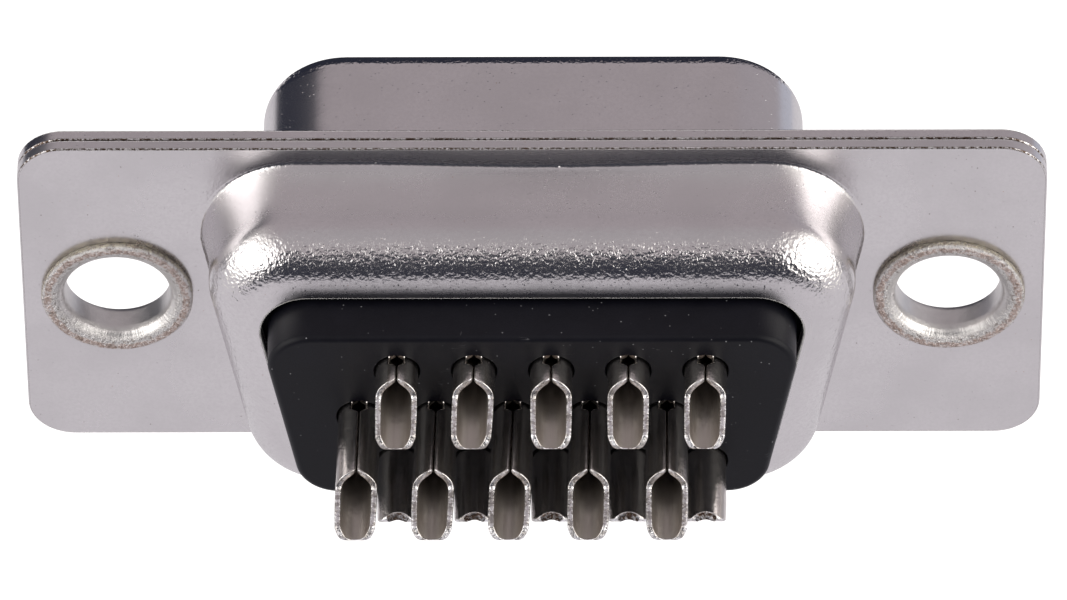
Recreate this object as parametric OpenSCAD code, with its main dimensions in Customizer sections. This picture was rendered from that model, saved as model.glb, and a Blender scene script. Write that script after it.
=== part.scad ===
// High-density 15-way D-sub socket with solder cups, in the 9-way shell size.
// Frame: X along the flange, Y the mating direction, Z up towards the wide
// side of the D. The origin is midway between the two mounting holes, on the
// front face of the flange.

/* [Flange] */
// Length of the flange
flange_l = 30.7; // [30.4:0.05:31.2]
// Height of the flange
flange_h = 12.5; // [12.3:0.05:12.8]
// Corner radius of the flange
flange_r = 1.4; // [0.8:0.1:2]
// Thickness of each shell's sheet
sheet_t = 0.4; // [0.35:0.01:0.42]
// Distance between the two mounting holes
hole_pitch = 25; // [24.9:0.01:25.1]

/* [Mating shell] */
// Outside width of the D at its widest
mate_w = 16.33; // [16.2:0.01:16.4]
// Outside height of the D
mate_h = 7.9; // [7.8:0.01:8]
// How far the D stands in front of the flange
mate_d = 5.8; // [5.6:0.05:6]
// Outside corner radius of the D
mate_r = 2.55; // [2.3:0.05:2.8]
// Outside radius of the rolled front rim
rim_r = 0.9; // [0.8:0.05:0.95]

/* [Rear shell] */
// How much wider the drawn box is at its root than at its back, on each side
box_draft = 0.22; // [0.1:0.02:0.36]
// Outside width of the drawn box at its back
back_w = 19.28; // [19.1:0.02:19.4]
// Outside height of the drawn box at its back
back_h = 10.72; // [10.6:0.02:10.8]
// Depth from the flange's front face to the back of the box
back_y = 4.45; // [4.3:0.05:4.6]
// Outside radius of the fold round the back
fold_r = 1.3; // [1.2:0.05:1.35]
// Width of the window
window_w = 16.14; // [16.05:0.01:16.25]
// Height of the window
window_h = 7.2; // [7.15:0.01:7.3]
// Corner radius of the window
window_r = 1.45; // [1.2:0.05:1.6]

/* [Eyelets] */
// Bore radius of the eyelets
eyelet_bore_r = 1.575; // [1.53:0.005:1.6]
// Radius of the eyelets' barrel
eyelet_barrel_r = 1.86; // [1.82:0.01:1.9]
// Radius of the rolled rear lip
eyelet_lip_r = 2.28; // [2.2:0.01:2.35]
// Height of the rolled lip above the rear of the flange
eyelet_lip_h = 0.27; // [0.2:0.01:0.32]
// Radius of the front head
eyelet_head_r = 2.35; // [2.2:0.01:2.5]
// Thickness of the front head
eyelet_head_t = 0.2; // [0.16:0.01:0.25]

/* [Insulators] */
// Width of the block that comes through the window
block_w = 15.7; // [15.6:0.02:15.9]
// Height of the block that comes through the window
block_h = 6.84; // [6.7:0.02:6.95]
// Depth from the flange's front face to the block's rear face
block_y = 5.86; // [5.7:0.02:6]
// Front face of the front insulator
nose_y = 5.7; // [5.6:0.05:5.75]
// Plane where the two insulators meet, behind the flange's front face
split_y = 0.42; // [0.42:0.01:0.5]
// Radius of the pin entries in the front face
entry_r = 0.53; // [0.5:0.01:0.56]

/* [Contacts] */
// Spacing along a row
pitch_x = 2.29; // [2.28:0.01:2.3]
// Spacing between rows
pitch_z = 1.98; // [1.97:0.01:1.99]
// Outside radius of the rolled barrel
barrel_r = 0.63; // [0.6:0.01:0.64]
// Thickness of the contacts' strip
strip_t = 0.19; // [0.17:0.01:0.2]
// Radius of the collar that holds each contact in the rear moulding
collar_r = 0.77; // [0.74:0.01:0.79]
// Thickness of that collar
collar_t = 0.4; // [0.3:0.02:0.5]
// Outside radius of the socket end
socket_r = 0.6; // [0.58:0.01:0.61]
// End of the top row's solder cups behind the flange's front face
cup_end_top = 8.6; // [8.5:0.05:8.9]
// End of the middle row's solder cups
cup_end_mid = 10.43; // [10.3:0.01:10.8]
// End of the bottom row's solder cups
cup_end_low = 8.66; // [8.5:0.02:9]
// Length of the open cup, from its point to its end
cup_l = 1.9; // [1.8:0.02:2.1]

/* [Hidden] */
side_a = 10;            // slope of the D's sides
cn = 8;                 // facets in each corner of a D
root_in_r = 0.45;       // fillet between the flange and the mating D
root_out_r = 0.2;       // fillet between the flange and the rear box
shell_c = 0.06;         // clearance between the shells and the mouldings
bore_n = 48;
row_x = pitch_x / 4;    // half the stagger between neighbouring rows

// outline of a D, widest half-width w, half-height h, corner radius r, in X and Z
function d_arc(cx, cz, r, a0, a1) =
    [for (i = [0:cn]) let (a = a0 + (a1 - a0) * i / cn) [cx + r * cos(a), cz + r * sin(a)]];
function d_half(w, h, r) =
    concat(d_arc(w - r - 2 * (h - r) * tan(side_a), r - h, r, -90, -side_a),
           d_arc(w - r, h - r, r, -side_a, 90));
function d_flip(p) = [for (i = [len(p) - 1:-1:0]) [-p[i][0], p[i][1]]];
function d_pts(w, h, r) = let (p = d_half(w, h, r)) concat(p, d_flip(p));

// a straight D between two depths
module d_block(w, h, r, y0, y1)
    translate([0, y1, 0]) rotate([90, 0, 0]) linear_extrude(y1 - y0) polygon(d_pts(w, h, r));

// the flange's outline, with as many points as a D, starting at the same corner
function flange_half() =
    concat(d_arc(flange_l / 2 - flange_r, flange_r - flange_h / 2, flange_r, -90, 0),
           d_arc(flange_l / 2 - flange_r, flange_h / 2 - flange_r, flange_r, 0, 90));
function flange_pts() = let (p = flange_half()) concat(p, d_flip(p));

// a shell drawn from sheet in one piece: outlines joined one to the next and the last
// to the first; each is [offset, y] from the D [w, h, r], or "flange" and y
module drawn(w, h, r, section) {
    n = len(flange_pts());
    m = len(section);
    pts = [for (s = section) for (p = s[0] == "flange" ? flange_pts()
            : is_list(s[0]) ? d_pts(s[0][0], s[0][1], s[0][2]) : d_pts(w + s[0], h + s[0], r + s[0]))
        [p[0], s[1], p[1]]];
    faces = [for (j = [0:m - 1]) for (i = [0:n - 1])
        let (a = j * n + i, b = j * n + (i + 1) % n,
             c = ((j + 1) % m) * n + (i + 1) % n, d = ((j + 1) % m) * n + i)
        each [[a, c, b], [a, d, c]]];
    polyhedron(pts, faces, convexity = 6);
}

module eyelet_holes()
    for (s = [-1, 1]) translate([s * hole_pitch / 2, 1, 0]) rotate([90, 0, 0])
        cylinder(r = eyelet_barrel_r, h = 3, $fn = bore_n);

// front shell: flange with the D drawn forward, its rim rolled in
module front_shell() {
    f = root_in_r;
    fi = f + sheet_t;
    ri = rim_r - sheet_t;
    lip = rim_r + 0.05;
    section = concat(
        [["flange", 0]],
        [for (a = [0:22.5:90]) [f * (1 - sin(a)), f * (1 - cos(a))]],
        [for (a = [0:18:90]) [-rim_r * (1 - cos(a)), mate_d - rim_r + rim_r * sin(a)]],
        [[-lip, mate_d], [-lip, mate_d - sheet_t]],
        [for (a = [90:-30:0]) [ri * cos(a) - rim_r, mate_d - rim_r + ri * sin(a)]],
        [for (a = [90:-18:0]) [f - fi * sin(a), f - fi * cos(a)]],
        [["flange", -sheet_t]]);
    color([0.74, 0.73, 0.75]) difference() {
        drawn(mate_w / 2, mate_h / 2, mate_r, section);
        eyelet_holes();
    }
}

// rear shell: flange with a box drawn back round the mouldings, and its window
module rear_shell() {
    r = 2.6;
    d = box_draft;
    f = root_out_r;
    fi = f + sheet_t;
    ri = fold_r - sheet_t;
    y0 = -2 * sheet_t;
    yb = -back_y;
    edge = 0.12;
    section = concat(
        [["flange", y0]],
        [for (a = [0:22.5:90]) [d + f * (1 - sin(a)), y0 - f * (1 - cos(a))]],
        [for (a = [0:18:90]) [-fold_r * (1 - cos(a)), yb + fold_r - fold_r * sin(a)]],
        [for (a = [0:45:90]) [[window_w / 2 + edge * (1 - sin(a)), window_h / 2 + edge * (1 - sin(a)), window_r + edge * (1 - sin(a))], yb + edge * (1 - cos(a))]],
        [[[window_w / 2, window_h / 2, window_r], yb + sheet_t]],
        [for (a = [90:-30:0]) [ri * cos(a) - fold_r, yb + fold_r - ri * sin(a)]],
        [for (a = [90:-18:0]) [d + f - fi * sin(a), y0 - f + fi * cos(a)]],
        [["flange", -sheet_t]]);
    color([0.75, 0.74, 0.76]) difference() {
        drawn(back_w / 2, back_h / 2, r, section);
        eyelet_holes();
    }
}

// one eyelet about Z, its head at the top, its rolled lip at the bottom
module eyelet() {
    yr = -2 * sheet_t - eyelet_lip_h;
    fl = eyelet_lip_r - eyelet_bore_r - 0.18;
    fh = 0.32;
    rotate_extrude($fn = 64) polygon(concat(
        [for (a = [0:15:75]) [eyelet_bore_r + fh * (1 - cos(a)), eyelet_head_t - fh + fh * sin(a)]],
        [[eyelet_bore_r + fh, eyelet_head_t], [eyelet_head_r - 0.06, eyelet_head_t], [eyelet_head_r, eyelet_head_t - 0.06], [eyelet_head_r, 0],
         [eyelet_barrel_r, 0], [eyelet_barrel_r, -2 * sheet_t], [eyelet_lip_r - 0.02, -2 * sheet_t],
         [eyelet_lip_r, yr + 0.14], [eyelet_lip_r - 0.04, yr + 0.05], [eyelet_lip_r - 0.12, yr]],
        [for (a = [75:-15:0]) [eyelet_bore_r + fl * (1 - cos(a)), yr + 0.36 - 0.36 * sin(a)]]));
}

module eyelets()
    color([0.72, 0.68, 0.6]) for (s = [-1, 1]) translate([s * hole_pitch / 2, 0, 0]) rotate([-90, 0, 0]) eyelet();

// contact n, 1 to 15: x, z, +1 if its seam faces up or -1 if down, and the end of its cup
function contact_x(n) = (floor((n - 1) / 5) == 1 ? -row_x : row_x) + pitch_x * ((n - 1) % 5 - 2);
function contact_z(n) = pitch_z * (1 - floor((n - 1) / 5));
function contact_s(n) = n > 10 ? -1 : 1;
function contact_end(n) = n < 6 ? cup_end_top : n < 11 ? cup_end_mid : cup_end_low;

module at_contacts(y) for (n = [1:15]) translate([contact_x(n), y, contact_z(n)]) rotate([90, 0, 0]) children();

// front moulding: it fills the D and stops against the rolled rim
module front_insulator() {
    w = mate_w / 2 - sheet_t - shell_c;
    h = mate_h / 2 - sheet_t - shell_c;
    color([0.13, 0.13, 0.15]) difference() {
        union() {
            d_block(mate_w / 2 - 1.02, mate_h / 2 - 1.02, mate_r - 1.02, 4, nose_y);
            d_block(w, h, mate_r - sheet_t, -split_y, mate_d - rim_r - 0.1);
        }
        // pin entries with their lead-in, and the cavities for the sockets
        at_contacts(nose_y + 1) cylinder(r = entry_r, h = 3, $fn = 32);
        at_contacts(nose_y) rotate_extrude($fn = 32) polygon([[0, -0.1], [entry_r + 0.27, -0.1], [entry_r + 0.27, 0], [entry_r, 0.25], [0, 0.25]]);
        at_contacts(nose_y - 0.65) cylinder(r = socket_r + 0.08, h = nose_y + 3, $fn = 32);
    }
}

// how far in front of the shell's back a block can reach, i mm inside the shell's outside
function fold_depth(i) = fold_r + 0.10 - sqrt(pow(fold_r - sheet_t, 2) - pow(max(0, fold_r - i), 2));

// rear moulding: base inside the rear shell and the block through its window
module rear_insulator() {
    base_w = back_w / 2 - sheet_t - shell_c;
    base_h = back_h / 2 - sheet_t - shell_c;
    bw = block_w / 2;
    bh = block_h / 2;
    color([0.13, 0.13, 0.15]) difference() {
        union() {
            d_block(base_w, base_h, 2.1, fold_r - 0.02 - back_y, -split_y - 0.02);
            // stepped back to clear the inside of the shell's fold
            for (i = [0.25, 0.5]) d_block(base_w - i, base_h - i, 2.1 - i, fold_depth(sheet_t + shell_c + i) - back_y, -split_y - 0.02);
            d_block(bw, bh, 1.3, -block_y + 0.12, -split_y - 0.02);
            d_block(bw - 0.12, bh - 0.12, 1.18, -block_y, -split_y - 0.02);
        }
        at_contacts(1 - split_y) cylinder(r = barrel_r + 0.02, h = 8, $fn = 32);
        // pockets for the contacts' retention collars
        at_contacts(1 - split_y) cylinder(r = collar_r + 0.03, h = 1 + collar_t + 0.04, $fn = 32);
        at_contacts(-block_y + 0.3) cylinder(r = barrel_r + 0.13, h = 1, $fn = 32);
    }
}

// one rolled contact along Z, its socket towards +Z, its cup towards -Z, its seam facing +Y
module contact_body(end) {
    tip = nose_y - 0.75;
    cup0 = -end + cup_l;
    bore_r = barrel_r - strip_t;
    // half plan of the cup's mouth: along the cup, half-width
    mouth = [[0, 0.02], [-0.05, 0.06], [-0.1, 0.14], [-0.14, 0.26], [-0.17, 0.4], [-0.2, 0.52], [-0.26, 0.6], [-0.4, 0.64], [-0.6, 0.7], [-3, 0.7]];
    difference() {
        union() {
            translate([0, 0, -split_y - 0.3]) cylinder(r = socket_r, h = tip + split_y + 0.3, $fn = 40);
            translate([0, 0, -split_y - collar_t - 0.02]) cylinder(r = collar_r, h = collar_t, $fn = 40);
            translate([0, 0, -end]) cylinder(r = barrel_r, h = end - split_y - 0.2, $fn = 40);
        }
        // bores
        translate([0, 0, -end - 1]) cylinder(r = bore_r, h = end + 0.4, $fn = 40);
        translate([0, 0, -3]) cylinder(r = socket_r - strip_t, h = 12, $fn = 40);
        // lead-in at the socket's mouth
        translate([0, 0, tip - 0.12]) rotate_extrude($fn = 40) polygon([[0, 0], [0.41, 0], [0.52, 0.13], [0, 0.13]]);
        // the slots that free the two beams
        translate([-0.08, -1, tip - 3.4]) cube([0.16, 2, 4]);
        // the seam
        translate([-0.02, 0, cup0 - 0.1]) cube([0.04, 1, tip - cup0]);
        // relief where the seam leaves the moulding
        translate([0, 0.3, -block_y - 0.06]) rotate([-90, 0, 0]) rotate([0, 0, 45]) translate([-0.12, -0.12, 0]) cube([0.24, 0.24, 1]);
        // the mouth of the cup, down to just above the middle
        translate([0, 1.02, cup0]) rotate([90, 0, 0]) linear_extrude(1)
            polygon(concat([for (p = mouth) [p[1], p[0]]], [for (i = [len(mouth) - 1:-1:0]) [-mouth[i][1], mouth[i][0]]]));
        // the slope of the tip
        translate([0, 0.02, -end + 0.37]) rotate([38.9, 0, 0]) translate([-1, -3, -2]) cube([2, 3.5, 2]);
    }
}

module contact(n)
    color([0.7, 0.69, 0.68]) translate([contact_x(n), 0, contact_z(n)])
        rotate([-90, 0, 0]) mirror([0, contact_s(n) > 0 ? 1 : 0, 0]) contact_body(contact_end(n));

front_shell();
rear_shell();
front_insulator();
rear_insulator();
eyelets();
contact(1);  // contact_1
contact(2);  // contact_2
contact(3);  // contact_3
contact(4);  // contact_4
contact(5);  // contact_5
contact(6);  // contact_6
contact(7);  // contact_7
contact(8);  // contact_8
contact(9);  // contact_9
contact(10);  // contact_10
contact(11);  // contact_11
contact(12);  // contact_12
contact(13);  // contact_13
contact(14);  // contact_14
contact(15);  // contact_15
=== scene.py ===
import bpy, bmesh, math
from mathutils import Vector, Matrix
from mathutils.geometry import delaunay_2d_cdt


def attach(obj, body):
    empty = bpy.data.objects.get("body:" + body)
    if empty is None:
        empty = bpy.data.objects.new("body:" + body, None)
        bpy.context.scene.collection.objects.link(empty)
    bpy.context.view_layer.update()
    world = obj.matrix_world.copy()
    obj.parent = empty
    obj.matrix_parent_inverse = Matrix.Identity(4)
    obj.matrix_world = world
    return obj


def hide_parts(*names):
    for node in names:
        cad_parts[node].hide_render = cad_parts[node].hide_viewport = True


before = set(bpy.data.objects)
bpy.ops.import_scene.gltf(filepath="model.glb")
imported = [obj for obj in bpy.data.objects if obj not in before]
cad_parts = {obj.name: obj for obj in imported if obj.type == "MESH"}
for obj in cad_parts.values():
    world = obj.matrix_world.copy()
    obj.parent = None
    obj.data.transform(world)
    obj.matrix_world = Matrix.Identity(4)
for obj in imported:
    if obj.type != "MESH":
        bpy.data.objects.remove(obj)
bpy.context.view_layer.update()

MM = 0.001
scene = bpy.context.scene
scene.view_settings.view_transform = "Standard"
scene.view_settings.look = "None"

# ------------------------------------------------------------------ camera
EL, AZ, ROLL, DIST = map(math.radians, (46.9423, 0.5998, -0.5452, 0.0))
DIST = 0.37274
TARGET = Vector((0.0000061, 0.0, -0.001192))
back = Vector((math.sin(AZ) * math.cos(EL), -math.cos(AZ) * math.cos(EL), math.sin(EL)))
right = (-back).cross(Vector((0, 0, 1))).normalized()
up = right.cross(-back)
r2 = math.cos(ROLL) * right + math.sin(ROLL) * up
u2 = -math.sin(ROLL) * right + math.cos(ROLL) * up
cam_data = bpy.data.cameras.new("camera")
cam_data.sensor_width = 36.0
cam_data.lens = 36.0 * 12345.5 / 1067.0
cam_data.clip_start, cam_data.clip_end = 0.01, 20.0
cam = bpy.data.objects.new("camera", cam_data)
scene.collection.objects.link(cam)
m = Matrix((r2, u2, back)).transposed().to_4x4()
m.translation = TARGET + back * DIST
cam.matrix_world = m
scene.camera = cam


# ------------------------------------------------------------------ node helpers
class Tree:
    """A short way to write a node tree."""

    def __init__(self, tree):
        self.t = tree
        self.n = 0

    def node(self, kind, **kw):
        nd = self.t.nodes.new(kind)
        nd.location = (self.n % 8 * 200, -(self.n // 8) * 300)
        self.n += 1
        for k, v in kw.items():
            setattr(nd, k, v)
        return nd

    def put(self, sock, v):
        if hasattr(v, "is_output") or isinstance(v, bpy.types.NodeSocket):
            self.t.links.new(v, sock)
        elif v is not None:
            sock.default_value = v

    def math(self, op, a, b=None, c=None, clamp=False):
        nd = self.node("ShaderNodeMath", operation=op, use_clamp=clamp)
        for i, v in enumerate((a, b, c)):
            if v is not None:
                self.put(nd.inputs[i], v)
        return nd.outputs[0]

    def vmath(self, op, a, b=None, scale=None):
        nd = self.node("ShaderNodeVectorMath", operation=op)
        self.put(nd.inputs[0], a)
        if b is not None:
            self.put(nd.inputs[1], b)
        if scale is not None:
            self.put(nd.inputs["Scale"], scale)
        return nd.outputs["Value"] if op in ("DOT_PRODUCT", "LENGTH") else nd.outputs["Vector"]

    def ramp(self, v, a, b, lo=0.0, hi=1.0, smooth=True):
        nd = self.node("ShaderNodeMapRange", interpolation_type="SMOOTHSTEP" if smooth else "LINEAR", clamp=True)
        self.put(nd.inputs["Value"], v)
        nd.inputs["From Min"].default_value = a
        nd.inputs["From Max"].default_value = b
        nd.inputs["To Min"].default_value = lo
        nd.inputs["To Max"].default_value = hi
        return nd.outputs["Result"]

    def mix(self, f, a, b, blend="MIX"):
        nd = self.node("ShaderNodeMix", data_type="RGBA", blend_type=blend)
        self.put(nd.inputs[0], f)
        self.put(nd.inputs[6], a)
        self.put(nd.inputs[7], b)
        return nd.outputs[2]

    def noise(self, vec, scale, detail=2.0, rough=0.5, dist=0.0, out="Fac"):
        nd = self.node("ShaderNodeTexNoise", noise_dimensions="3D")
        self.put(nd.inputs["Vector"], vec)
        nd.inputs["Scale"].default_value = scale
        nd.inputs["Detail"].default_value = detail
        nd.inputs["Roughness"].default_value = rough
        nd.inputs["Distortion"].default_value = dist
        return nd.outputs[out]

    def voronoi(self, vec, scale, feature="F1", rnd=1.0, out="Distance"):
        nd = self.node("ShaderNodeTexVoronoi", feature=feature)
        self.put(nd.inputs["Vector"], vec)
        nd.inputs["Scale"].default_value = scale
        nd.inputs["Randomness"].default_value = rnd
        return nd.outputs[out]

    def bump(self, height, dist, strength=1.0, normal=None):
        nd = self.node("ShaderNodeBump")
        nd.inputs["Strength"].default_value = strength
        nd.inputs["Distance"].default_value = dist
        self.put(nd.inputs["Height"], height)
        if normal is not None:
            self.put(nd.inputs["Normal"], normal)
        return nd.outputs["Normal"]


# ------------------------------------------------------------------ world, lights, floor
world = bpy.data.worlds.new("studio")
scene.world = world
world.use_nodes = True
wt = Tree(world.node_tree)
world.node_tree.nodes.clear()
dirn = wt.node("ShaderNodeTexCoord").outputs["Generated"]
DARK = (0.028, 0.031, 0.048, 1)


def toward(az, el):
    a, e = math.radians(az), math.radians(el)
    return Vector((math.sin(a) * math.cos(e), math.cos(a) * math.cos(e), math.sin(e)))


def glow(col, az, el, inner, outer, color):
    f = wt.ramp(wt.vmath("DOT_PRODUCT", dirn, toward(az, el)), math.cos(math.radians(outer)), math.cos(math.radians(inner)))
    return wt.mix(f, col, (*color, 1))


col = glow(DARK, 0, 82, 46, 54, (0.47, 0.425, 0.44))            # ceiling
col = glow(col, 0, 94, 17, 30, (0.50, 0.475, 0.485))             # brighter straight above
col = glow(col, 46, 14, 26, 36, (0.455, 0.42, 0.445))            # wall on the right, behind
col = glow(col, 50, -18, 12, 20, (0.60, 0.62, 0.70))
col = glow(col, -62, 42, 8, 20, (0.58, 0.55, 0.54))             # upper wall on the left
col = glow(col, -106, -8, 28, 38, (0.50, 0.49, 0.51))           # low walls at the sides
col = glow(col, 108, -8, 28, 38, (0.50, 0.49, 0.50))
col = glow(col, -108, 27, 26, 47, (1.25, 1.22, 1.16))           # the walls round the two soft boxes
col = glow(col, 106, 27, 28, 49, (1.30, 1.26, 1.18))
lp = wt.node("ShaderNodeLightPath")
col = wt.mix(lp.outputs["Is Camera Ray"], col, (0.93, 0.93, 0.93, 1))
bg = wt.node("ShaderNodeBackground")
wt.put(bg.inputs["Color"], col)
bg.inputs["Strength"].default_value = 1.0
wo = wt.node("ShaderNodeOutputWorld")
world.node_tree.links.new(bg.outputs[0], wo.inputs[0])


def stage_mesh(name, verts, faces, mat, camera=True, glossy=True, diffuse=True, shadow=True):
    me = bpy.data.meshes.new(name)
    me.from_pydata(verts, [], faces)
    me.materials.append(mat)
    o = bpy.data.objects.new(name, me)
    scene.collection.objects.link(o)
    o.visible_camera, o.visible_glossy, o.visible_diffuse, o.visible_shadow = camera, glossy, diffuse, shadow
    return o


def emission(name, color, strength):
    mt = bpy.data.materials.new(name)
    mt.use_nodes = True
    t = mt.node_tree
    t.nodes.clear()
    e = t.nodes.new("ShaderNodeEmission")
    e.inputs["Color"].default_value = (*color, 1)
    e.inputs["Strength"].default_value = strength
    out = t.nodes.new("ShaderNodeOutputMaterial")
    t.links.new(e.outputs[0], out.inputs[0])
    return mt


FLOOR_Z = -0.075
fm = bpy.data.materials.new("floor")
fm.use_nodes = True
fp = fm.node_tree.nodes["Principled BSDF"]
fp.inputs["Base Color"].default_value = (0.5, 0.5, 0.5, 1)
fp.inputs["Roughness"].default_value = 0.9
fp.inputs["Specular IOR Level"].default_value = 0.0
fp.inputs["Emission Color"].default_value = (1, 1, 1, 1)
fp.inputs["Emission Strength"].default_value = 0.72
stage_mesh("floor", [(-6, -6, FLOOR_Z), (6, -6, FLOOR_Z), (6, 6, FLOOR_Z), (-6, 6, FLOOR_Z)], [(0, 1, 2, 3)], fm,
           glossy=False)
bz, br = -0.15, 0.56
ring = []
for i in range(64):
    a = i * math.pi / 32
    rr = br - 0.38 * math.exp(-((a - math.pi / 2) / 0.42) ** 4)      # it stops short behind the object
    rr -= 0.10 * math.exp(-((a - 3 * math.pi / 4) / 0.35) ** 2) + 0.18 * math.exp(-((a - math.pi / 4) / 0.35) ** 2)
    ring.append((rr * math.cos(a), rr * math.sin(a), bz))
stage_mesh("bounce_card", [(0, 0, bz)] + ring, [(0, i + 1, (i + 1) % 64 + 1) for i in range(64)], emission("bounce", (0.80, 0.775, 0.80), 1.0),
           camera=False, diffuse=False, shadow=False)


def softbox(name, az, el, dist, w, h, radiance, color=(1, 1, 1)):
    ld = bpy.data.lights.new(name, "AREA")
    ld.shape = "RECTANGLE"
    ld.size, ld.size_y = w, h
    ld.energy = radiance * math.pi * w * h
    ld.color = color
    o = bpy.data.objects.new(name, ld)
    scene.collection.objects.link(o)
    a, e = math.radians(az), math.radians(el)
    d = Vector((math.sin(a) * math.cos(e), math.cos(a) * math.cos(e), math.sin(e)))
    o.location = d * dist
    o.rotation_mode = "QUATERNION"
    o.rotation_quaternion = d.to_track_quat("Z", "Y")
    o.visible_camera = False
    return o


softbox("soft_left", -112, 27, 0.36, 0.48, 0.27, 1.75, (1.0, 0.985, 0.955))
softbox("soft_right", 110, 27, 0.36, 0.50, 0.30, 1.85, (1.0, 0.98, 0.94))


# ------------------------------------------------------------------ mesh helpers
class Mesh:
    def __init__(self):
        self.v, self.f, self.a, self.b = [], [], [], []   # points in mm, faces, wear-and-glint value (wear, plus the painted highlight flag) and inner value of each point

    def add(self, pts, val=0.0, inner=0.0):
        i = len(self.v)
        self.v.extend(pts)
        self.b.extend([inner] * len(pts))
        self.a.extend(val if isinstance(val, (list, tuple)) else [val] * len(pts))
        return list(range(i, i + len(pts)))

    def strip(self, a, b, close=True, flip=False):
        n = len(a)
        for i in range(n if close else n - 1):
            j = (i + 1) % n
            q = (a[i], a[j], b[j], b[i])
            self.f.append(q[::-1] if flip else q)

    def flat(self, loops, inside, flip=False, extra=()):
        """Fills the plane region between loops of point numbers; inside(x, z) says if a spot is in it."""
        ids = [i for l in loops for i in l]
        co, edges, k = [], [], 0
        for l in loops:
            for i in range(len(l)):
                edges.append((k + i, k + (i + 1) % len(l)))
            k += len(l)
        co = [Vector((self.v[i][0], self.v[i][2])) for i in ids]
        y = self.v[ids[0]][1]
        for x, z in extra:
            co.append(Vector((x, z)))
        out = delaunay_2d_cdt(co, edges, [], 1, 1e-7)
        verts, faces, orig = out[0], out[2], out[3]
        names = {}
        for i, o in enumerate(orig):
            if o and o[0] < len(ids):
                names[i] = ids[o[0]]
        for t in faces:
            c = sum((verts[i] for i in t), Vector((0, 0))) / len(t)
            if not inside(c.x, c.y):
                continue
            for i in t:
                if i not in names:
                    names[i] = self.add([(verts[i].x, y, verts[i].y)])[0]
            self.f.append(tuple(names[i] for i in (t[::-1] if flip else t)))

    def build(self, name, mat, smooth=True, attr="wear_and_glint"):
        me = bpy.data.meshes.new(name)
        me.from_pydata([(x * MM, y * MM, z * MM) for x, y, z in self.v], [], self.f)
        me.materials.append(mat)
        at = me.attributes.new(attr, "FLOAT", "POINT")
        at.data.foreach_set("value", self.a)
        at = me.attributes.new("inner", "FLOAT", "POINT")
        at.data.foreach_set("value", self.b)
        me.validate()
        bm = bmesh.new()
        bm.from_mesh(me)
        bmesh.ops.recalc_face_normals(bm, faces=bm.faces)
        if bm.calc_volume(signed=True) < 0:
            bmesh.ops.reverse_faces(bm, faces=bm.faces)
        bm.to_mesh(me)
        bm.free()
        me.polygons.foreach_set("use_smooth", [smooth] * len(me.polygons))
        me.update()
        o = bpy.data.objects.new(name, me)
        scene.collection.objects.link(o)
        return o


def in_poly(x, z, poly):
    hit = False
    n = len(poly)
    for i in range(n):
        x1, z1 = poly[i]
        x2, z2 = poly[(i + 1) % n]
        if (z1 > z) != (z2 > z) and x < (x2 - x1) * (z - z1) / (z2 - z1) + x1:
            hit = not hit
    return hit


def arc(cx, cz, r, a0, a1, n, first=True):
    return [(cx + r * math.cos(math.radians(a0 + (a1 - a0) * i / n)), cz + r * math.sin(math.radians(a0 + (a1 - a0) * i / n)))
            for i in range(0 if first else 1, n + 1)]


def seg(p, q, n):
    """Points strictly between p and q."""
    return [(p[0] + (q[0] - p[0]) * i / n, p[1] + (q[1] - p[1]) * i / n) for i in range(1, n)]


SIDE = 10.0


def d_loop(w, h, r, cn=18, nt=26, ns=9, nb=22):
    """A D seen from the front: widest half-width w, half-height h, corner radius r."""
    t = math.tan(math.radians(SIDE))
    cb = w - r - 2 * (h - r) * t
    a = arc(cb, r - h, r, -90, -SIDE, cn)
    b = arc(w - r, h - r, r, -SIDE, 90, cn)
    half = a + seg(a[-1], b[0], ns) + b
    other = [(-x, z) for x, z in half[::-1]]
    return half + seg(half[-1], other[0], nt) + other + seg(other[-1], half[0], nb)


def rect_loop(w, h, r, cn=12, nl=24, ns=8):
    q = arc(w - r, r - h, r, -90, 0, cn)
    p = arc(w - r, h - r, r, 0, 90, cn)
    half = q + seg(q[-1], p[0], ns) + p
    other = [(-x, z) for x, z in half[::-1]]
    return half + seg(half[-1], other[0], nl) + other + seg(other[-1], half[0], nl)


def circle(cx, cz, r, n):
    return [(cx + r * math.cos(2 * math.pi * i / n), cz + r * math.sin(2 * math.pi * i / n)) for i in range(n)]


def lift(loop, y):
    return [(x, y, z) for x, z in loop]


def lerp_loop(a, b, s):
    return [(p[0] + (q[0] - p[0]) * s, p[1] + (q[1] - p[1]) * s) for p, q in zip(a, b)]


def sweep(msh, rings, flip=False, wear_and_glint=None):
    """rings: [(loop, y)], each joined to the next. Returns the point numbers of each ring."""
    ids = []
    for k, (loop, y) in enumerate(rings):
        ids.append(msh.add(lift(loop, y), wear_and_glint[k] if wear_and_glint else 0.0))
    for a, b in zip(ids, ids[1:]):
        msh.strip(a, b, flip=flip)
    return ids


def soften(o, sharp_deg=80.0):
    """Vertex normals weighted by face area, so that flats stay flat beside fillets."""
    import numpy as np
    me = o.data
    n = len(me.vertices)
    co = np.zeros(n * 3, np.float32)
    me.vertices.foreach_get("co", co)
    acc = np.zeros((n, 3))
    for p in me.polygons:
        w = np.array(p.normal) * p.area
        for i in p.vertices:
            acc[i] += w
    ln = np.linalg.norm(acc, axis=1)
    ln[ln == 0] = 1
    acc /= ln[:, None]
    me.normals_split_custom_set_from_vertices(acc.tolist())


def done(o, slot, *nodes):
    soften(o)
    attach(o, "root")
    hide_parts(*nodes)
    return o


# ------------------------------------------------------------------ sizes, in mm, as in the CAD
FL, FH, FR, SH = 30.7, 12.5, 1.4, 0.4
HOLE = 12.5
MW, MH, MD, MR, RIM = 16.33 / 2, 7.9 / 2, 5.8, 2.55, 0.8
BD, BW, BH, BY, BR = 0.32, 19.28 / 2, 10.72 / 2, 4.45, 2.6
WW, WH, WR = 16.14 / 2, 3.6, 1.45
CN = 22


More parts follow.
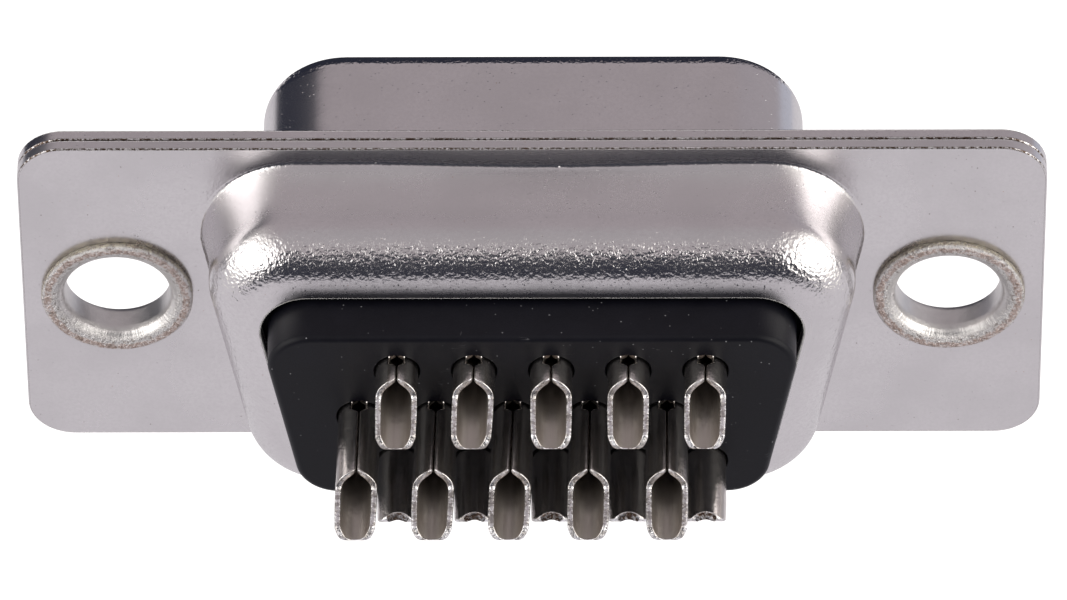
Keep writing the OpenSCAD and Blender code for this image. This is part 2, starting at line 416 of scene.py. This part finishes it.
def flange_loop(o):
    return rect_loop(FL / 2 - o, FH / 2 - o, FR - o, cn=14, nl=40, ns=12)


def dl(w, h, r, o=0.0):
    return d_loop(w + o, h + o, r + o, cn=CN, nt=50, ns=12, nb=44)


def sheet_edge(ya, yb, ea, eb, n=5):
    s = 1 if yb > ya else -1
    out = []
    for i in range(n + 1):
        a = math.radians(90 * i / n)
        out.append((flange_loop(ea * (1 - math.sin(a))), ya + s * ea * (1 - math.cos(a))))
    for i in range(n, -1, -1):
        a = math.radians(90 * i / n)
        out.append((flange_loop(eb * (1 - math.sin(a))), yb - s * eb * (1 - math.cos(a))))
    return out


def sind(a):
    return math.sin(math.radians(a))


def cosd(a):
    return math.cos(math.radians(a))


def sheet_with_box(name, mat, rings, y_outer, y_inner, e_out, e_in, toward, wear_and_glint):
    """A flange sheet with a drawn box: rings run from the flange's outer face to its inner face."""
    M = Mesh()
    ids = sweep(M, rings, flip=toward < 0, wear_and_glint=wear_and_glint)
    edge = sheet_edge(y_outer, y_inner, e_out, e_in)
    half = len(edge) // 2
    ew = [2.0 if 0 < i < half - 1 or half < i < len(edge) - 1 else 0.0 for i in range(len(edge))]
    eids = sweep(M, edge, flip=toward > 0, wear_and_glint=ew)
    holes = {}
    bore = {}
    for y in (y_outer, y_inner):
        for s in (-1, 1):
            bore[y, s] = M.add(lift(circle(s * HOLE, 0, 1.87, 96), y))
            holes[y, s] = M.add(lift(circle(s * HOLE, 0, 1.93, 96), y))
            M.strip(bore[y, s], holes[y, s])
    for s in (-1, 1):
        M.strip(bore[y_outer, s], bore[y_inner, s], flip=toward < 0)
    for y, lp, db, fl in ((y_outer, eids[0], ids[0], toward > 0), (y_inner, eids[-1], ids[-1], toward < 0)):
        outer2 = [(M.v[i][0], M.v[i][2]) for i in lp]
        inner2 = [(M.v[i][0], M.v[i][2]) for i in db]

        def ok(x, z):
            if in_poly(x, z, inner2) or not in_poly(x, z, outer2):
                return False
            return all((x - s * HOLE) ** 2 + z * z > 1.9285 ** 2 for s in (-1, 1))

        M.flat([lp, db, holes[y, -1], holes[y, 1]], ok, flip=fl)
    return M.build(name, mat)


# rear shell
def rear_shell(mat):
    f, fi = 0.17, 0.17 + SH
    y0 = -2 * SH
    D, P = 15.0, 3.2                           # the wall's draft at its root, and how fast it straightens
    d = 0.235
    R, T = 1.5, 12.5
    e = 0.06
    z_fold = R * (1 - sind(T))                 # how far in the fold reaches
    run = BH - z_fold - WH - e
    ys = -BY + run * math.tan(math.radians(T)) + R * cosd(T)
    rg, wr = [], []

    def put(loop, y, w, k=0.0):
        # the long top side has sprung in a little at its root
        rg.append(([(x, z - k * 0.13 * max(0.0, 1 - ((x - 0.5) / 5.8) ** 2) ** 2) if z > 4 else (x, z) for x, z in loop], y))
        wr.append(w)

    yr = y0 - f * (1 - sind(D))
    length = yr - ys
    D = math.degrees(math.atan(P * d / length))
    grow = 0.12                                # the corners are rounder at the root
    for i in range(15):
        a = (90 - D) * i / 14
        o = d - f * (1 - cosd(D)) + f * (1 - sind(a))
        put(dl(BW, BH, BR + grow, o), y0 - f * (1 - cosd(a)), 0.45, 1.0)
    yr = y0 - f * (1 - sind(D))
    o1 = d - f * (1 - cosd(D)) + f * (1 - cosd(D))
    for i in range(1, 22):
        t = i / 22
        put(dl(BW, BH, BR + grow * (1 - t), o1 * (1 - t) ** P), yr + (ys - yr) * t, 0.35 * max(0, 1 - t / 0.10) + 0.10 + 0.08 * max(0, (t - 0.7) / 0.3) ** 2, (1 - t) ** 2)
    for i in range(25):
        a = (90 - T) * i / 24
        w = 0.18 + 0.82 * min(1, i / 12) ** 1.3 if i < 17 else 1.0 - 0.62 * (i - 17) / 7
        put(dl(BW, BH, BR, -R * (1 - cosd(a))), ys - R * sind(a), w)
    l1, y1 = rg[-1]
    l2 = dl(WW, WH, WR, e)
    for i in range(1, 15):
        t = i / 14
        put(lerp_loop(l1, l2, t), y1 - run * t * math.tan(math.radians(T)), 0.38 - 0.25 * min(1, t * 1.6))
    # the window's rounded edge is flagged 3.0 in the wear-and-glint value, which gives it its painted highlight
    for i in range(1, 6):
        a = 90 * i / 5
        put(dl(WW, WH, WR, e * (1 - sind(a))), -BY + e * (1 - cosd(a)), 3.0)
    put(dl(WW, WH, WR), -BY + SH - 0.03, 0.0)
    put(dl(WW, WH, WR, 0.03), -BY + SH, 0.0)
    for i in range(7):
        a = 90 - 15 * i
        put(dl(BW, BH, BR, (R - SH) * cosd(a) - R), -BY + R - (R - SH) * sind(a), 0.0, 0.0)
    for i in range(9):
        a = 90 - 11.25 * i
        put(dl(BW, BH, BR + grow, d - fi * sind(a) + f), y0 - f + fi * cosd(a), 0.0, 1.0)
    return sheet_with_box("rear_shell_skin", mat, rg, y0, -SH, 0.06, 0.07, -1, wr)


# front shell
def front_shell(mat):
    f = 0.45
    fi = f + SH
    ro, rd = 0.93, 1.0
    rg, wr = [], []

    def put(loop, y, w):
        rg.append((loop, y))
        wr.append(w)

    for i in range(15):
        a = 90 * i / 14
        put(dl(MW, MH, MR, f * (1 - sind(a))), f * (1 - cosd(a)), 0.3 if 0 < i < 14 else 0.0)
    for i in range(1, 14):
        put(dl(MW, MH, MR), f + (MD - rd - f) * i / 14, 0.02)
    for i in range(21):
        a = 90 * i / 20
        put(dl(MW, MH, MR, -ro * (1 - cosd(a))), MD - rd + rd * sind(a), min(1, i / 3) * 0.8 + 0.05)
    e = 0.04
    for i in range(1, 5):
        a = 90 * i / 4
        put(dl(MW, MH, MR, -ro - e * sind(a)), MD - e * (1 - cosd(a)), 0.3)
    put(dl(MW, MH, MR, -ro - e), MD - SH + 0.04, 0.0)
    put(dl(MW, MH, MR, -ro), MD - SH, 0.0)
    for i in range(1, 7):
        a = 90 - 15 * i
        put(dl(MW, MH, MR, -SH - (ro - SH) * (1 - cosd(a))), MD - rd + (rd - SH) * sind(a), 0.0)
    for i in range(9):
        a = 90 - 11.25 * i
        put(dl(MW, MH, MR, f - fi * sind(a)), f - fi * cosd(a), 0.0)
    return sheet_with_box("front_shell_skin", mat, rg, 0.0, -SH, 0.07, 0.06, 1, wr)


# ------------------------------------------------------------------ eyelets
def eyelets(mat):
    M = Mesh()
    N = 144
    bore, head, lip = 1.575, 2.35, 2.28
    yr = -2 * SH - 0.27
    fl = lip - bore - 0.18
    prof = []
    for i in range(9):
        a = 90 * i / 8
        prof.append((bore + 0.32 * (1 - cosd(a)), -0.12 + 0.32 * sind(a)))
    prof += [(2.1, 0.2), (2.25, 0.2)]
    for i in range(5):
        a = 22.5 * i
        prof.append((head - 0.08 + 0.08 * sind(a), 0.12 + 0.08 * cosd(a)))
    prof += [(head, 0.012), (head - 0.012, 0.004), (1.9, 0.003), (1.858, -0.02), (1.858, -0.78), (1.9, -0.803), (lip - 0.04, -0.805)]
    for i in range(10):
        a = -60 + 150 * i / 9
        prof.append((lip - 0.14 + 0.14 * cosd(a), yr + 0.14 - 0.14 * sind(a)))
    prof.append((bore + fl * 0.995, yr + 0.002))
    for i in range(12):
        a = 84 - 7 * i
        prof.append((bore + fl * (1 - cosd(a)), yr + 0.42 - 0.42 * sind(a)))
    prof.append((bore, yr + 0.42))
    for s in (-1, 1):
        rings = []
        for k, (r, y) in enumerate(prof):
            pts = []
            for i in range(N):
                a = 2 * math.pi * i / N
                q = r
                yy = y
                if y < -0.81:
                    # the rolled lip isn't perfectly even
                    wob = 0.010 * math.sin(3 * a + s) + 0.006 * math.sin(7 * a + 2 * s)
                    w = min(1.0, max(0.0, (r - 1.72) / 0.3)) * min(1.0, (-0.81 - y) / 0.08)
                    q = r + wob * w * 0.7
                    yy = y + wob * 0.4 * w
                pts.append((s * HOLE + q * math.cos(a), yy, q * math.sin(a)))
            rings.append(M.add(pts, r))
        for a, b in zip(rings, rings[1:] + rings[:1]):
            M.strip(a, b, flip=False)
    return M.build("eyelet_rings", mat, attr="radius")


# ------------------------------------------------------------------ insulators
PX, PZ = 2.29, 1.98


def contact_place(n):
    row = (n - 1) // 5
    x = (-PX / 4 if row == 1 else PX / 4) + PX * ((n - 1) % 5 - 2)
    return x, PZ * (1 - row), (-1 if row == 2 else 1), (8.6, 10.43, 8.66)[row]


def hole_rings(M, n, prof, flip, cnt=40):
    x, z, _, _ = contact_place(n)
    ids = [M.add(lift(circle(x, z, r, cnt), y), 0.5) for r, y in prof]
    for a, b in zip(ids, ids[1:]):
        M.strip(a, b, flip=flip)
    return ids


def plate(M, loop_ids, hole_ids, flip):
    outer2 = [(M.v[i][0], M.v[i][2]) for i in loop_ids]
    cs = []
    for h in hole_ids:
        x = sum(M.v[i][0] for i in h) / len(h)
        z = sum(M.v[i][2] for i in h) / len(h)
        r = math.hypot(M.v[h[0]][0] - x, M.v[h[0]][2] - z)
        cs.append((x, z, (r * 0.995) ** 2))
    M.flat([loop_ids] + hole_ids, lambda a, b: in_poly(a, b, outer2) and all((a - x) ** 2 + (b - z) ** 2 > q for x, z, q in cs), flip=flip)


def rear_insulator(mat):
    M = Mesh()
    bw, bh = BW - SH - 0.06, BH - SH - 0.06
    w, h = 15.7 / 2, 6.84 / 2
    yf, yr = -0.44, -5.86
    rg = [(dl(bw, bh, 2.1), yf), (dl(bw, bh, 2.1), -3.10), (dl(bw, bh, 2.1, -0.3), -3.72), (dl(bw, bh, 2.1, -0.6), -3.93)]
    e = 0.2
    rg += [(dl(w, h, 1.3, 0.02), -3.93)]
    for i in range(1, 7):
        rg.append((dl(w, h, 1.3, 0.02 * (1 - i / 6)), -3.93 + (yr + e + 3.93) * i / 6))
    for i in range(1, 9):
        a = 90 * i / 8
        rg.append((dl(w, h, 1.3, -e * (1 - cosd(a))), yr + e - e * sind(a)))
    ids = sweep(M, rg, flip=True)
    rear, front = [], []
    for n in range(1, 16):
        k = hole_rings(M, n, [(0.72, yr), (0.695, yr + 0.006), (0.68, yr + 0.03), (0.675, yr + 0.25), (0.655, yr + 0.26), (0.652, -1.24), (0.80, -1.23), (0.80, yf)], True)
        rear.append(k[0])
        front.append(k[-1])
    plate(M, ids[-1], rear, False)
    plate(M, ids[0], front, True)
    return M.build("rear_moulding", mat)


def front_insulator(mat):
    M = Mesh()
    w, h = MW - SH - 0.06, MH - SH - 0.06
    r = MR - SH
    yb, yf, yn = -0.42, 4.9, 5.7
    wn, hn, rn = MW - 1.02, MH - 1.02, MR - 1.02
    rg = [(dl(w, h, r), yb), (dl(w, h, r), yf - 0.1), (dl(w, h, r, -0.1), yf), (dl(wn, hn, rn), yf)]
    e = 0.10
    rg.append((dl(wn, hn, rn), yn - e))
    for i in range(1, 7):
        a = 15 * i
        rg.append((dl(wn, hn, rn, -e * (1 - cosd(a))), yn - e + e * sind(a)))
    ids = sweep(M, rg, flip=False)
    nose, rear = [], []
    for n in range(1, 16):
        k = hole_rings(M, n, [(0.79, yn), (0.765, yn - 0.012), (0.55, yn - 0.23), (0.53, yn - 0.27), (0.53, 5.05), (0.68, 5.04), (0.68, yb)], False)
        nose.append(k[0])
        rear.append(k[-1])
    plate(M, ids[-1], nose, True)
    plate(M, ids[0], rear, False)
    return M.build("front_moulding", mat)


# ------------------------------------------------------------------ contacts
def smooth_table(tab, s):
    if s <= tab[0][0]:
        return tab[0][1]
    for (a, p), (b, q) in zip(tab, tab[1:]):
        if s <= b:
            return p + (q - p) * (s - a) / (b - a)
    return tab[-1][1]


# the mouth's edge: depth from its point, and height above the contact's axis
MOUTH = [(0, 0.6297), (0.045, 0.626), (0.09, 0.612), (0.125, 0.585), (0.155, 0.545), (0.18, 0.49), (0.205, 0.41), (0.23, 0.31),
         (0.27, 0.2), (0.33, 0.125), (0.45, 0.09), (1.64, -0.13), (1.9, -0.53)]


# no two contacts stand quite straight
LEAN = {1: -0.02, 2: -0.08, 4: -0.02, 5: -0.05, 6: -0.09, 7: -0.11, 8: -0.13, 9: -0.065, 10: -0.015}


def contact(n, mat):
    """A rolled strip: s runs back along the contact, the angle t from its seam."""
    x0, z0, sg, end = contact_place(n)
    R, TH = 0.63, 0.19
    cup0 = end - 1.9
    seam = 0.022
    slope0 = end - 0.30
    ss = []

    def run(a, b, k):
        ss.extend(a + (b - a) * i / k for i in range(k))

    tip = -4.95
    run(tip, tip + 0.12, 4)
    run(tip + 0.12, -0.2, 6)
    run(-0.2, 1.5, 10)
    run(1.5, 5.6, 4)
    run(5.6, 6.2, 18)
    run(6.2, cup0, 4 if n not in range(6, 11) else 10)
    run(cup0, cup0 + 0.5, 30)
    run(cup0 + 0.5, slope0, 12)
    run(slope0, end - 0.072, 14)
    run(end - 0.072, end - 0.03, 2)
    run(end - 0.03, end, 4)
    ss.append(end)

    def radius(s):
        return smooth_table([(-0.1, 0.60), (0.42, 0.60), (0.43, 0.77), (0.82, 0.77), (0.84, 0.63), (9, 0.63)], s)

    def inner(s):
        return smooth_table([(tip, 0.49), (tip + 0.12, 0.41), (0.5, 0.41), (1.2, 0.44), (9, 0.44)], s)

    def edge(s, r):
        """angle of the strip's edge from the seam"""
        hw = seam
        if s < -1.55:
            hw = 0.08
        if 5.7 < s < 6.2:
            hw = max(hw, min(0.24, (s - 5.7) * 3, (6.2 - s) * 1.6))
        if s > cup0:
            return math.acos(max(-1, min(1, min(smooth_table(MOUTH, s - cup0), math.sqrt(r * r - seam * seam)) / r)))
        return math.asin(min(0.985, hw / r))

    D = [0.0, 0.008, 0.022, 0.045, 0.075]
    K = 16
    er = 0.072
    M = Mesh()
    outer, inside = [], []

    def drop(d):
        return 0.0 if d >= er else er - math.sqrt(max(0.0, er * er - (er - d) ** 2))

    for s in ss:
        r, ri = radius(s), inner(s)
        a0 = edge(s, r)
        de = end - s
        df = s - tip
        angs = []
        for d in D:
            angs.append((a0 + d / r, d))
        for k in range(1, K + 1):
            angs.append((a0 + D[-1] / r + (math.pi - a0 - D[-1] / r) * k / K, 1.0))
        full = [(a, d) for a, d in angs] + [(2 * math.pi - a, d) for a, d in angs[-2::-1]]
        ro, ril = [], []
        back = max(0.0, (s - slope0) / (end - slope0))
        lean = LEAN.get(n, 0.0) * max(0.0, (s - 6.3) / (end - 6.3))
        for a, d in full:
            q = max(drop(min(d, 1.0)), drop(de * 2.4) / 2.4, drop(df))
            for rr, lst in ((r - q, ro), (ri + q, ril)):
                xx = rr * math.sin(a)
                zz = rr * math.cos(a)
                # the end is sheared a little short of square underneath
                lst.append((x0 + xx + lean, -s + back * 0.85 * max(0.0, -0.42 - zz), z0 + zz * sg))
        wv = [max(0.0, 1 - d / 0.075) if s > cup0 else 0.0 for a, d in full]
        if de < 0.0301:
            wv = [1.0 + max(0.0, 1 - de / 0.02)] * len(full)
        outer.append(M.add(ro, wv))
        inside.append(M.add(ril, wv, 1.0))
    fl = sg < 0
    for a, b in zip(outer, outer[1:]):
        M.strip(a, b, close=False, flip=fl)
    for a, b in zip(inside, inside[1:]):
        M.strip(a, b, close=False, flip=not fl)
    for i in range(len(ss) - 1):
        for e, sw in ((0, False), (-1, True)):
            q = (outer[i][e], outer[i + 1][e], inside[i + 1][e], inside[i][e])
            M.f.append(q if sw != fl else q[::-1])
    for k, sw in ((0, False), (-1, True)):
        for j in range(len(outer[k]) - 1):
            q = (outer[k][j], inside[k][j], inside[k][j + 1], outer[k][j + 1])
            M.f.append(q[::-1] if sw != fl else q)
    return M.build("contact_strip_%02d" % n, mat)


# ------------------------------------------------------------------ materials
def material(name):
    mt = bpy.data.materials.new(name)
    mt.use_nodes = True
    t = Tree(mt.node_tree)
    p = mt.node_tree.nodes["Principled BSDF"]
    co = t.vmath("SCALE", t.node("ShaderNodeTexCoord").outputs["Object"], scale=1000.0)   # millimetres
    return mt, t, p, co


def nickel(name, base, rough, seed):
    mt, t, p, co = material(name)
    wear_and_glint = t.node("ShaderNodeAttribute", attribute_name="wear_and_glint").outputs["Fac"]
    co = t.vmath("ADD", co, (seed, seed * 0.7, -seed))
    cloud = t.noise(co, 0.35, 3, 0.6)
    fine = t.noise(co, 9.0, 3, 0.65)
    # the sheet is smooth on its flats, and stretched to an orange peel where it is drawn and folded
    drawn = t.ramp(wear_and_glint, 0.02, 0.3)
    fold = t.math("MULTIPLY", t.ramp(wear_and_glint, 0.25, 0.85), t.ramp(wear_and_glint, 1.5, 1.2))
    cut = t.ramp(wear_and_glint, 1.2, 1.8)
    # painted highlight: points flagged 2.2 to 2.8 (the window's rounded edge) are painted near-white and made less
    # metallic, a painted glint
    painted_glint = t.ramp(wear_and_glint, 2.2, 2.8)
    peel = t.noise(co, 8.0, 1.5, 0.55)
    amp = t.math("MULTIPLY_ADD", fold, 0.034, 0.0007)
    amp = t.math("MULTIPLY_ADD", drawn, 0.0016, amp)
    amp = t.math("MULTIPLY_ADD", cut, 0.012, amp)
    h = t.math("MULTIPLY", peel, amp)
    h = t.math("MULTIPLY_ADD", t.noise(co, 1.4, 2, 0.5), 0.0045, h)
    # small grains standing on the surface, and fewer small pits
    near = t.math("MULTIPLY", t.ramp(t.voronoi(co, 5.0), 0.17, 0.0), t.ramp(t.noise(co, 1.7, 2, 0.6), 0.40, 0.56))
    near2 = t.math("MULTIPLY", t.ramp(t.voronoi(t.vmath("ADD", co, (2.3, 5.1, 8.7)), 8.5), 0.26, 0.0), t.ramp(drawn, 0.3, 0.9))
    h = t.math("MULTIPLY_ADD", near, 0.0085, h)
    h = t.math("MULTIPLY_ADD", near2, 0.0030, h)
    pit = t.math("MULTIPLY", t.ramp(t.voronoi(t.vmath("ADD", co, (7.1, 1.7, 4.9)), 3.1), 0.075, 0.03),
                 t.ramp(t.noise(co, 2.1, 2, 0.6), 0.48, 0.60))
    h = t.math("MULTIPLY_ADD", pit, -0.006, h)
    t.put(p.inputs["Normal"], t.bump(h, 0.001))
    r = t.math("MULTIPLY_ADD", cloud, 0.08, rough - 0.04)
    r = t.math("MULTIPLY_ADD", fine, 0.05, r)
    r = t.math("MULTIPLY_ADD", drawn, -0.07, r)
    r = t.math("MULTIPLY_ADD", cut, 0.16, r)
    t.put(p.inputs["Roughness"], r)
    b2 = tuple(c * 0.93 for c in base)
    c = t.mix(t.ramp(cloud, 0.35, 0.7), (*base, 1), (*b2, 1))
    c = t.mix(t.ramp(fine, 0.35, 0.7, 0.0, 0.5), c, tuple(v * 0.90 for v in base) + (1,))
    c = t.mix(t.math("MULTIPLY", pit, 0.85), c, (0.15, 0.10, 0.08, 1))
    warm = t.math("MULTIPLY", t.ramp(t.voronoi(t.vmath("ADD", co, (3.1, 7.7, 1.3)), 1.9), 0.05, 0.02), t.ramp(fine, 0.45, 0.55))
    c = t.mix(t.math("MULTIPLY", warm, 0.6), c, (0.42, 0.24, 0.15, 1))
    # sheared edges: brown where bare, on their upward-facing side; the window's rounded edge gets a painted
    # highlight, a near-white, less metallic colour
    sep = t.node("ShaderNodeSeparateXYZ")
    t.put(sep.inputs[0], t.node("ShaderNodeNewGeometry").outputs["Normal"])
    bare = t.math("MULTIPLY", t.math("MULTIPLY", cut, t.ramp(t.noise(co, 9.0, 3, 0.75), 0.57, 0.47)), t.math("SUBTRACT", 1.0, painted_glint))
    bare = t.math("MULTIPLY", bare, t.ramp(sep.outputs["Z"], 0.1, 0.4))
    c = t.mix(bare, c, (0.085, 0.055, 0.040, 1))
    c = t.mix(t.math("MULTIPLY", painted_glint, t.ramp(fine, 0.3, 0.5)), c, (0.95, 0.93, 0.90, 1))
    t.put(p.inputs["Base Color"], c)
    # the painted highlight is also made less metallic
    t.put(p.inputs["Metallic"], t.math("MULTIPLY_ADD", painted_glint, -0.85, 1.0))
    return mt


def eyelet_metal():
    mt, t, p, co = material("eyelet_metal")
    at = t.node("ShaderNodeAttribute", attribute_name="radius").outputs["Fac"]
    n1 = t.noise(co, 3.0, 3, 0.6)
    n2 = t.noise(co, 10.0, 3, 0.7)
    n3 = t.noise(co, 1.2, 2, 0.6)
    # fine lines run out from the bore, as the flare is stretched
    sp = t.node("ShaderNodeSeparateXYZ")
    t.put(sp.inputs[0], co)
    dx = t.math("SUBTRACT", t.math("ABSOLUTE", sp.outputs["X"]), 12.5)
    ray = t.node("ShaderNodeCombineXYZ")
    t.put(ray.inputs["X"], t.math("DIVIDE", dx, at))
    t.put(ray.inputs["Y"], t.math("MULTIPLY", sp.outputs["Y"], 0.08))
    t.put(ray.inputs["Z"], t.math("DIVIDE", sp.outputs["Z"], at))
    rays = t.noise(ray.outputs[0], 17.0, 2, 0.6)
    sep = t.node("ShaderNodeSeparateXYZ")
    t.put(sep.inputs[0], t.node("ShaderNodeNewGeometry").outputs["Normal"])
    side = t.math("MULTIPLY", t.ramp(sep.outputs["Y"], -0.80, -0.30), t.ramp(at, 2.0, 2.15))
    edge = t.math("MULTIPLY", t.noise(co, 2.6, 3, 0.7), 0.22)
    where = t.math("ADD", at, edge)
    band = t.math("MULTIPLY", t.ramp(where, 2.06, 2.12), t.ramp(where, 2.33, 2.27))
    silver = t.mix(n1, (0.74, 0.72, 0.72, 1), (0.60, 0.585, 0.58, 1))
    copper = t.mix(t.ramp(n2, 0.4, 0.6), (0.70, 0.58, 0.55, 1), (0.42, 0.32, 0.28, 1))
    olive = t.mix(t.ramp(n2, 0.42, 0.60), (0.50, 0.455, 0.34, 1), (0.17, 0.135, 0.085, 1))
    c = t.mix(t.math("MULTIPLY", band, t.ramp(n2, 0.36, 0.52, 0.15, 0.9)), silver, copper)
    c = t.mix(t.math("MULTIPLY", side, t.ramp(n2, 0.3, 0.6, 0.95, 0.6)), c, olive)
    dark = t.math("MULTIPLY", t.ramp(t.noise(co, 9.0, 3, 0.7), 0.52, 0.62), t.ramp(at, 1.78, 1.92))
    c = t.mix(t.math("MULTIPLY", dark, 0.65), c, (0.22, 0.17, 0.14, 1))
    t.put(p.inputs["Base Color"], c)
    p.inputs["Metallic"].default_value = 1.0
    t.put(p.inputs["Roughness"], t.math("MULTIPLY_ADD", n2, 0.20, 0.30))
    grain = t.ramp(at, 1.72, 1.9)
    h = t.math("MULTIPLY_ADD", n1, 0.010, t.math("MULTIPLY", n2, t.math("MULTIPLY_ADD", grain, 0.11, 0.006)))
    h = t.math("MULTIPLY_ADD", rays, t.math("MULTIPLY", t.ramp(at, 1.58, 1.65), 0.024), h)
    t.put(p.inputs["Normal"], t.bump(h, 0.001))
    return mt


def plastic():
    mt, t, p, co = material("moulded_black")
    n1 = t.noise(co, 1.1, 3, 0.6)
    n2 = t.noise(co, 22.0, 2, 0.6)
    c = t.mix(n1, (0.0026, 0.0026, 0.0046, 1), (0.0050, 0.0050, 0.0088, 1))
    dust = t.math("MULTIPLY", t.ramp(t.voronoi(co, 3.2), 0.085, 0.045), t.ramp(t.noise(t.vmath("ADD", co, (9, 2, 4)), 1.3, 2, 0.6), 0.42, 0.52))
    # a few short fibres
    wv = t.noise(t.vmath("MULTIPLY", co, (0.9, 0.9, 5.0)), 1.0, 2, 0.5, 0.6)
    fib = t.math("MULTIPLY", t.ramp(t.math("ABSOLUTE", t.math("SUBTRACT", wv, 0.5)), 0.006, 0.002),
                 t.ramp(t.noise(t.vmath("ADD", co, (4, 8, 1)), 1.1, 2, 0.5), 0.66, 0.70))
    dust = t.math("MAXIMUM", dust, t.math("MULTIPLY", fib, 0.35))
    c = t.mix(t.math("MULTIPLY", dust, 0.6), c, (0.30, 0.30, 0.32, 1))
    t.put(p.inputs["Base Color"], c)
    t.put(p.inputs["Roughness"], t.math("MULTIPLY_ADD", n1, 0.14, 0.34))
    p.inputs["Specular IOR Level"].default_value = 0.17
    t.put(p.inputs["Normal"], t.bump(t.math("MULTIPLY", n2, 0.0040), 0.001))
    return mt


def tin():
    mt, t, p, co = material("tinned_contact")
    rim = t.node("ShaderNodeAttribute", attribute_name="wear_and_glint").outputs["Fac"]
    inner = t.node("ShaderNodeAttribute", attribute_name="inner").outputs["Fac"]
    n1 = t.noise(co, 2.2, 3, 0.6)
    n2 = t.noise(co, 11.0, 3, 0.6)
    # drawing lines run along the strip
    n3 = t.noise(t.vmath("MULTIPLY", co, (7.0, 0.5, 7.0)), 1.0, 3, 0.6)
    bare = t.ramp(rim, 1.5, 1.95)
    rim = t.ramp(rim, 0.25, 0.75)
    inside = t.math("MULTIPLY", t.ramp(inner, 0.3, 0.7), t.math("SUBTRACT", 1.0, rim))
    c = t.mix(n1, (0.70, 0.67, 0.655, 1), (0.60, 0.565, 0.54, 1))
    c = t.mix(t.math("MULTIPLY", t.ramp(n3, 0.5, 0.75), 0.6), c, (0.30, 0.25, 0.21, 1))
    c = t.mix(t.math("MULTIPLY", inside, 0.75), c, (0.40, 0.355, 0.32, 1))
    lip = t.mix(t.ramp(t.noise(co, 4.5, 2, 0.6), 0.46, 0.58), (0.80, 0.785, 0.81, 1), (0.44, 0.415, 0.41, 1))
    c = t.mix(t.math("MULTIPLY", rim, t.ramp(n2, 0.36, 0.48)), c, lip)
    c = t.mix(t.math("MULTIPLY", bare, t.ramp(n2, 0.6, 0.45)), c, (0.15, 0.10, 0.075, 1))
    t.put(p.inputs["Base Color"], c)
    p.inputs["Metallic"].default_value = 1.0
    r = t.math("MULTIPLY_ADD", n2, 0.10, 0.13)
    r = t.math("MULTIPLY_ADD", n1, 0.08, r)
    r = t.math("MULTIPLY_ADD", inside, 0.17, r)
    t.put(p.inputs["Roughness"], t.math("MULTIPLY_ADD", rim, 0.06, r))
    h = t.math("ADD", t.math("MULTIPLY", n1, 0.012), t.math("MULTIPLY", n2, 0.005))
    h = t.math("MULTIPLY_ADD", n3, 0.007, h)
    h = t.math("MULTIPLY_ADD", t.math("MULTIPLY", n2, rim), 0.022, h)
    t.put(p.inputs["Normal"], t.bump(h, 0.001))
    return mt


m_rear = nickel("nickel_rear", (0.675, 0.65, 0.667), 0.27, 0.0)
m_front = nickel("nickel_front", (0.675, 0.65, 0.665), 0.20, 11.3)
m_eyelet = eyelet_metal()
m_black = plastic()
m_tin = tin()

done(rear_shell(m_rear), "rear_shell", "rear_shell")
done(front_shell(m_front), "front_shell", "front_shell")
done(eyelets(m_eyelet), "eyelet", "eyelets")
done(rear_insulator(m_black), "insulator", "rear_insulator")
done(front_insulator(m_black), "insulator", "front_insulator")
for n in range(1, 16):
    done(contact(n, m_tin), "contact", "contact_%d" % n)

bpy.context.view_layer.update()
